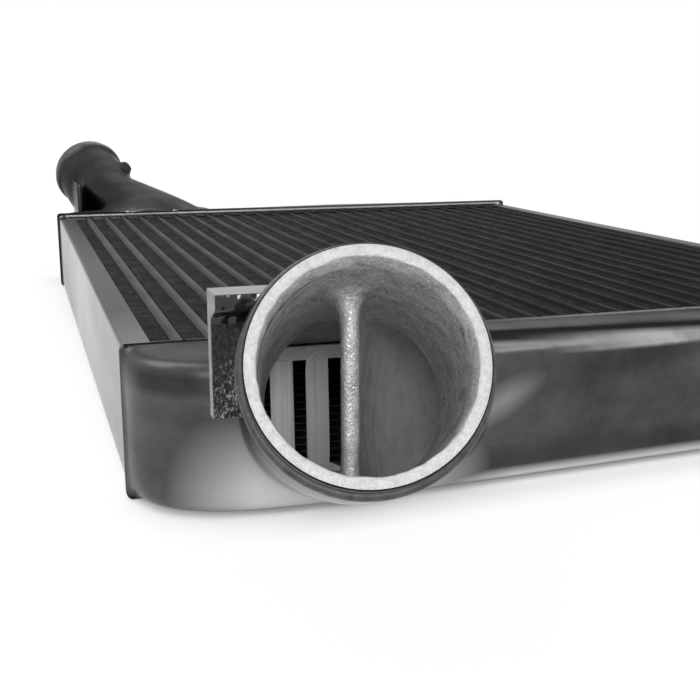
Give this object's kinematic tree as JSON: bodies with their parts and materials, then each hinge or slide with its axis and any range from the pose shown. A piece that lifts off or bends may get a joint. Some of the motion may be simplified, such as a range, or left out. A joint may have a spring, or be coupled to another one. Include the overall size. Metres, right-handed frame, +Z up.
{
  "type": "intercooler",
  "caption": "Bar-and-plate intercooler with a flat core, a cast tank at each end, and a wide hose neck rising from one corner of each tank.",
  "frame": {"origin": "Middle of the whole object in plan, at the level it rests on.", "axes": "X runs across the tubes, Y along the tubes from the front tank to the rear tank, Z up through the thickness of the core."},
  "size_m": [0.4566, 1.0012, 0.1294],
  "materials": {
    "fin_aluminium": "dark folded fin sheet, satin",
    "tube_aluminium": "rolled bar edges, satin",
    "bar_aluminium": "drawn bar, lengthwise lines",
    "rail_aluminium": "smooth bright rolled sheet",
    "cast_aluminium": "polished casting outside, rough as-cast bore"
  },
  "bodies": {
    "root": {"fin_pack_01": "fin_aluminium", "fin_pack_02": "fin_aluminium", "fin_pack_03": "fin_aluminium", "fin_pack_04": "fin_aluminium", "fin_pack_05": "fin_aluminium", "fin_pack_06": "fin_aluminium", "fin_pack_07": "fin_aluminium", "fin_pack_08": "fin_aluminium", "fin_pack_09": "fin_aluminium", "fin_pack_10": "fin_aluminium", "fin_pack_11": "fin_aluminium", "fin_pack_12": "fin_aluminium", "fin_pack_13": "fin_aluminium", "fin_pack_14": "fin_aluminium", "fin_pack_15": "fin_aluminium", "fin_pack_16": "fin_aluminium", "fin_pack_17": "fin_aluminium", "fin_pack_18": "fin_aluminium", "fin_pack_19": "fin_aluminium", "fin_pack_20": "fin_aluminium", "fin_pack_21": "fin_aluminium", "fin_pack_22": "fin_aluminium", "fin_pack_23": "fin_aluminium", "fin_pack_24": "fin_aluminium", "fin_pack_25": "fin_aluminium", "fin_pack_26": "fin_aluminium", "fin_pack_27": "fin_aluminium", "charge_tube_01": "tube_aluminium", "charge_tube_02": "tube_aluminium", "charge_tube_03": "tube_aluminium", "charge_tube_04": "tube_aluminium", "charge_tube_05": "tube_aluminium", "charge_tube_06": "tube_aluminium", "charge_tube_07": "tube_aluminium", "charge_tube_08": "tube_aluminium", "charge_tube_09": "tube_aluminium", "charge_tube_10": "tube_aluminium", "charge_tube_11": "tube_aluminium", "charge_tube_12": "tube_aluminium", "charge_tube_13": "tube_aluminium", "charge_tube_14": "tube_aluminium", "charge_tube_15": "tube_aluminium", "charge_tube_16": "tube_aluminium", "charge_tube_17": "tube_aluminium", "charge_tube_18": "tube_aluminium", "charge_tube_19": "tube_aluminium", "charge_tube_20": "tube_aluminium", "charge_tube_21": "tube_aluminium", "charge_tube_22": "tube_aluminium", "charge_tube_23": "tube_aluminium", "charge_tube_24": "tube_aluminium", "charge_tube_25": "tube_aluminium", "charge_tube_26": "tube_aluminium", "closing_bars_front": "bar_aluminium", "closing_bars_rear": "bar_aluminium", "side_rail_left": "rail_aluminium", "side_rail_right": "rail_aluminium", "tank_front": "cast_aluminium", "tank_rear": "cast_aluminium"}
  },
  "joints": []
}
